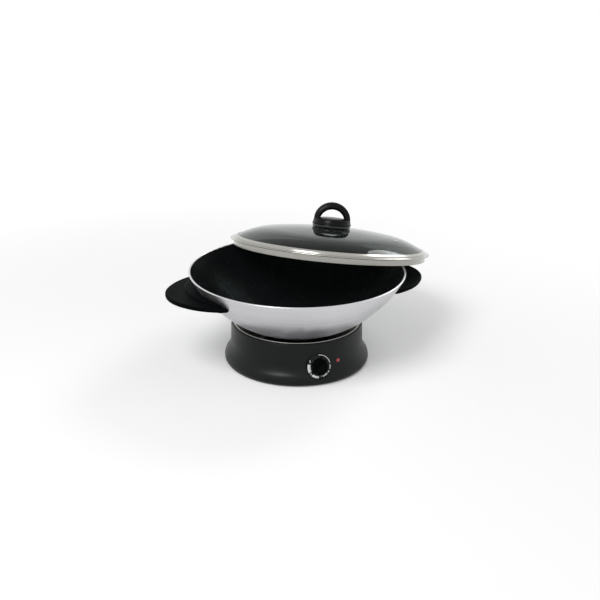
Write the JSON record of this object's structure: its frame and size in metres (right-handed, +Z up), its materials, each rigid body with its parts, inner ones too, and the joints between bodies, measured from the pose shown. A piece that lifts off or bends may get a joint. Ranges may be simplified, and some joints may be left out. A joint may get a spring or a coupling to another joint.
{
  "type": "electric wok",
  "caption": "Electric wok: aluminium bowl with two black wing handles on a round black heating base with a dial, and a loose domed glass lid leaning on the rim.",
  "frame": {"origin": "centre of the base where it stands on the table", "axes": "+Z up, -Y towards the user (knob side), +X to the user's right along the line of the two handles"},
  "size_m": [0.4939, 0.4654, 0.2341],
  "materials": {
    "base_plastic": "satin black moulded plastic",
    "cover_plastic": "matt black moulded plastic",
    "rubber": "matt",
    "zinc_steel": "zinc-plated steel",
    "thermostat_case": "plated case",
    "knob_plastic": "satin black",
    "red_lens": "clear red moulding",
    "lamp_glass": "clear",
    "gland_rubber": "satin",
    "ceramic": "unglazed white",
    "fuse_case": "plated",
    "reflector_steel": "bright pressed steel",
    "element_steel": "heat-tinted sheath",
    "brushed_aluminium": "brushed outside, black non-stick coat inside",
    "handle_plastic": "satin black heat-proof moulding",
    "smoked_glass": "smoked tempered glass",
    "polished_steel": "polished",
    "gloss_plastic": "gloss black"
  },
  "bodies": {
    "base": {"base_shell": "base_plastic", "bottom_cover": "cover_plastic", "rubber_feet": "rubber", "cover_screws": "zinc_steel", "thermostat_body": "thermostat_case", "thermostat_nut": "zinc_steel", "pilot_lens": "red_lens", "pilot_lamp": "lamp_glass", "cord_gland": "gland_rubber", "terminal_block": "ceramic", "thermal_fuse": "fuse_case", "fuse_clip": "zinc_steel", "heat_reflector": "reflector_steel", "heating_element": "element_steel", "element_brackets": "zinc_steel", "element_bushings": "ceramic"},
    "knob": {"control_knob": "knob_plastic", "thermostat_spindle": "zinc_steel"},
    "wok": {"wok_bowl": "brushed_aluminium", "handle_right": "handle_plastic", "handle_left": "handle_plastic", "handle_bracket_right": "zinc_steel", "handle_bracket_left": "zinc_steel", "handle_screws": "zinc_steel"},
    "lid": {"lid_glass": "smoked_glass", "lid_band": "polished_steel", "steam_vent": "polished_steel", "lid_knob_base": "gloss_plastic", "lid_knob_loop": "handle_plastic", "lid_knob_washer": "rubber", "lid_knob_screw": "zinc_steel"}
  },
  "joints": [
    {"name": "knob_turn", "type": "hinge", "parent": "base", "child": "knob", "pos_m": [0, -0.1151, 0.032], "axis": [0, 0.9848, -0.1736], "range_deg": [-45, 255]},
    {"name": "wok_lift", "type": "slide", "parent": "base", "child": "wok", "axis": [0, 0, 1], "range_m": [0, 0.12]},
    {"name": "lid_lift", "type": "slide", "parent": "wok", "child": "lid", "axis": [0, 0, 1], "range_m": [0, 0.15]}
  ]
}
